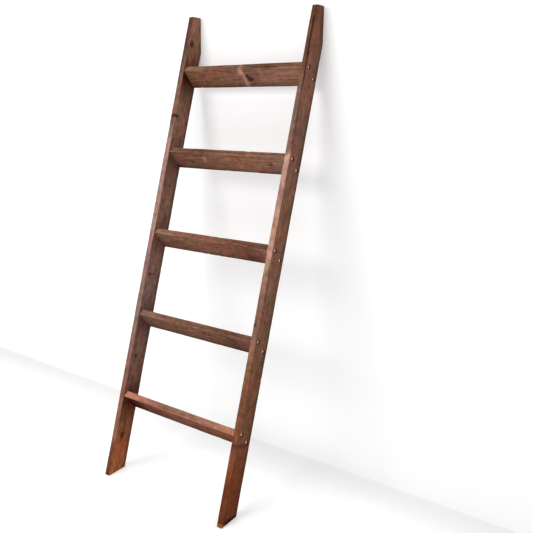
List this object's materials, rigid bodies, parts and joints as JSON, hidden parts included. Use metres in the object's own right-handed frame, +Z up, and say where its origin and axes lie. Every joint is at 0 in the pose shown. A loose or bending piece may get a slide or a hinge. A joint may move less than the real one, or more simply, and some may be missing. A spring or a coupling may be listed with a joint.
{
  "type": "leaning blanket ladder",
  "caption": "Wooden ladder-shaped rack that leans on a wall; quilts, blankets or towels are hung over its tilted flat rungs.",
  "frame": {"origin": "on the floor, under the middle of the ladder's bounding box in its leaning pose", "axes": "+X along the rungs, +Y towards the wall it leans on, +Z up"},
  "size_m": [0.457, 0.4556, 1.375],
  "materials": {
    "rail_wood": "dark walnut stain on softwood, satin, knots and open grain",
    "rung_wood": "dark walnut stain on softwood, satin, lighter on worn edges",
    "screw_steel": "yellow zinc plated"
  },
  "bodies": {
    "root": {"rail_left": "rail_wood", "rail_right": "rail_wood", "rung_bottom": "rung_wood", "rung_lower": "rung_wood", "rung_middle": "rung_wood", "rung_upper": "rung_wood", "rung_top": "rung_wood", "screw_left_bottom_front": "screw_steel", "screw_left_bottom_back": "screw_steel", "screw_left_lower_front": "screw_steel", "screw_left_lower_back": "screw_steel", "screw_left_middle_front": "screw_steel", "screw_left_middle_back": "screw_steel", "screw_left_upper_front": "screw_steel", "screw_left_upper_back": "screw_steel", "screw_left_top_front": "screw_steel", "screw_left_top_back": "screw_steel", "screw_right_bottom_front": "screw_steel", "screw_right_bottom_back": "screw_steel", "screw_right_lower_front": "screw_steel", "screw_right_lower_back": "screw_steel", "screw_right_middle_front": "screw_steel", "screw_right_middle_back": "screw_steel", "screw_right_upper_front": "screw_steel", "screw_right_upper_back": "screw_steel", "screw_right_top_front": "screw_steel", "screw_right_top_back": "screw_steel"}
  },
  "joints": []
}
